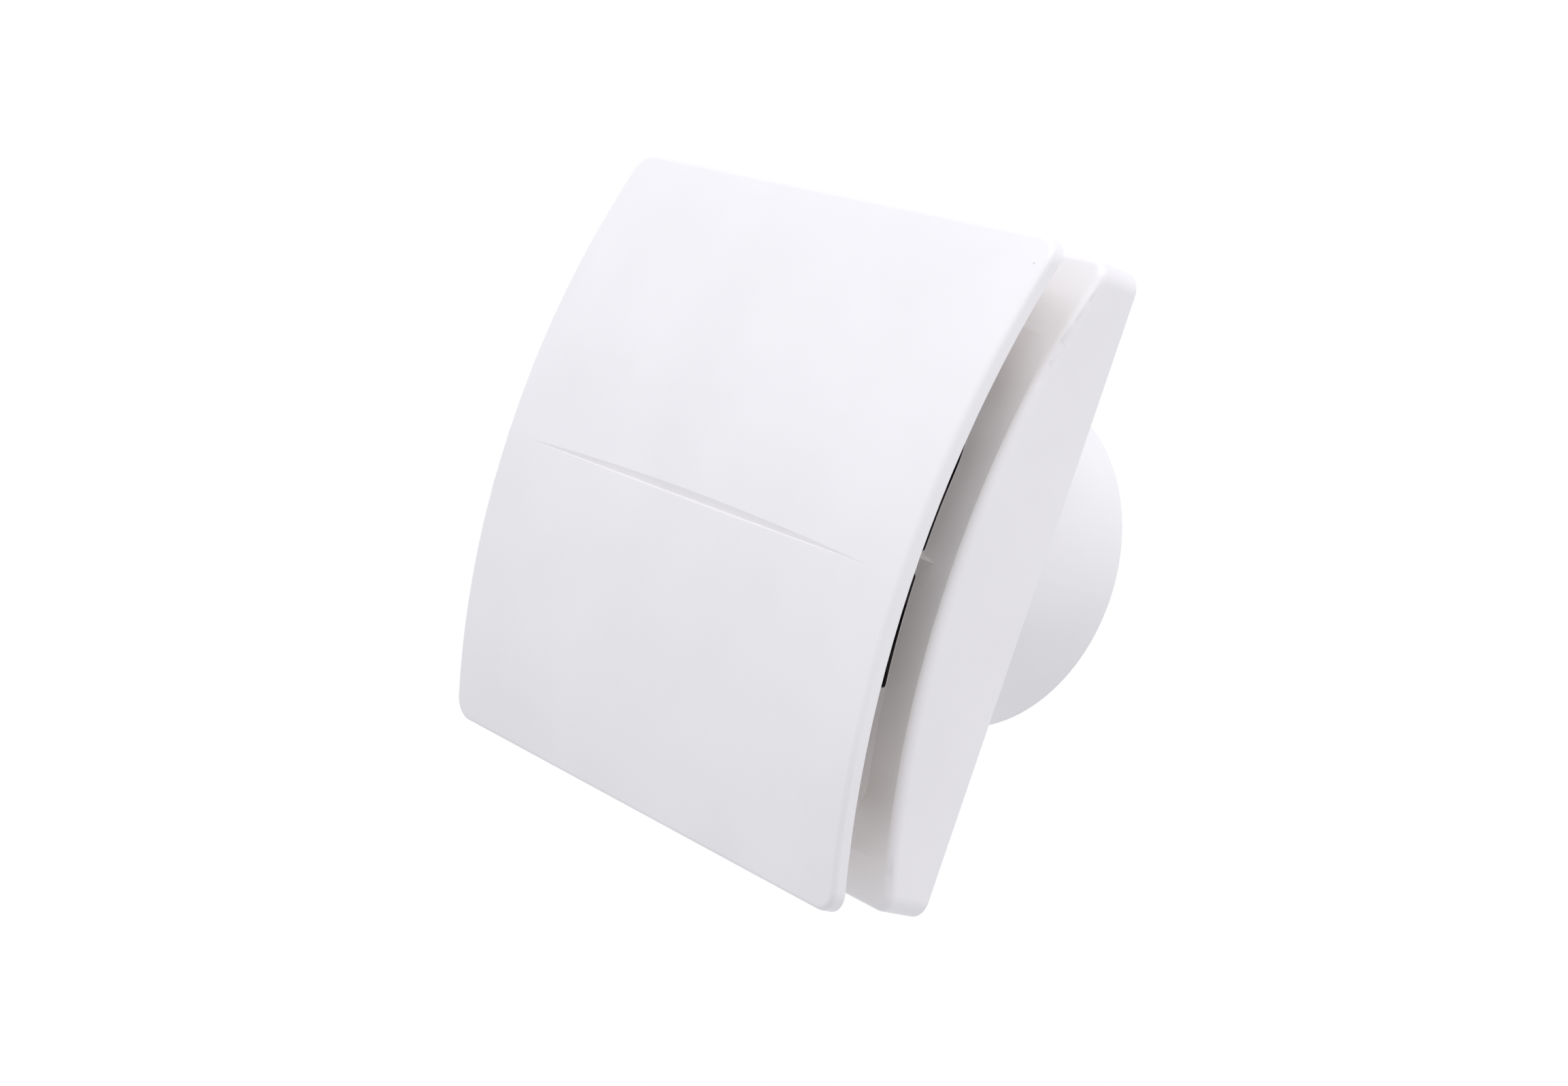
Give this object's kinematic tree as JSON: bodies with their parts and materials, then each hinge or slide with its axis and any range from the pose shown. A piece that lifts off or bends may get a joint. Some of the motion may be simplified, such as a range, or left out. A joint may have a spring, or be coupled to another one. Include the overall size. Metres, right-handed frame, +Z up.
{
  "type": "exhaust fan",
  "caption": "Wall exhaust fan with a curved square front panel standing off a dished frame, a round duct spigot behind and an axial impeller on a motor in the duct.",
  "frame": {"origin": "on the duct axis, in the plane of the wall that the back plate sits on", "axes": "+Z up, +Y along the duct axis away from the room, +X to the right seen from the room"},
  "size_m": [0.17, 0.1142, 0.1702],
  "materials": {
    "panel_plastic": "satin moulded white",
    "frame_plastic": "satin moulded white",
    "housing_plastic": "satin moulded white",
    "carrier_plastic": "moulded dark grey",
    "impeller_plastic": "moulded black",
    "cover_plastic": "moulded white",
    "terminal_plastic": "moulded off-white",
    "bobbin_plastic": "moulded black",
    "fibre_washer": "plain fibre",
    "screw_steel": "bright zinc",
    "screw_brass": "plain",
    "shaft_steel": "ground",
    "rotor_aluminium": "die cast on steel",
    "bracket_aluminium": "die cast",
    "lamination_steel": "stamped and stacked",
    "copper_wire": "enamelled copper",
    "sintered_bronze": "sintered",
    "grommet_rubber": "moulded"
  },
  "bodies": {
    "fan_body": {"front_frame": "frame_plastic", "frame_screws": "screw_steel", "wall_plate": "housing_plastic", "duct_spigot": "housing_plastic", "motor_carrier": "carrier_plastic", "stator_core": "lamination_steel", "coil_bobbins": "bobbin_plastic", "coil_windings": "copper_wire", "front_bearing_bracket": "bracket_aluminium", "rear_bearing_bracket": "bracket_aluminium", "front_bush": "sintered_bronze", "rear_bush": "sintered_bronze", "motor_screws": "screw_steel", "motor_cover": "cover_plastic", "terminal_block": "terminal_plastic", "terminal_screws": "screw_brass", "terminal_cover": "cover_plastic", "terminal_cover_screw": "screw_steel", "cable_clamp": "terminal_plastic", "cable_clamp_screws": "screw_steel", "cable_grommet": "grommet_rubber"},
    "impeller_body": {"impeller": "impeller_plastic", "impeller_nut": "screw_steel", "motor_shaft": "shaft_steel", "motor_rotor": "rotor_aluminium", "thrust_washers": "fibre_washer"},
    "panel_body": {"front_panel": "panel_plastic"}
  },
  "joints": [
    {"name": "impeller_spin", "type": "hinge", "parent": "fan_body", "child": "impeller_body", "pos_m": [0, 0, 0], "axis": [0, 1, 0], "continuous": true},
    {"name": "panel_pull", "type": "slide", "parent": "fan_body", "child": "panel_body", "axis": [0, -1, 0], "range_m": [0, 0.025]}
  ]
}
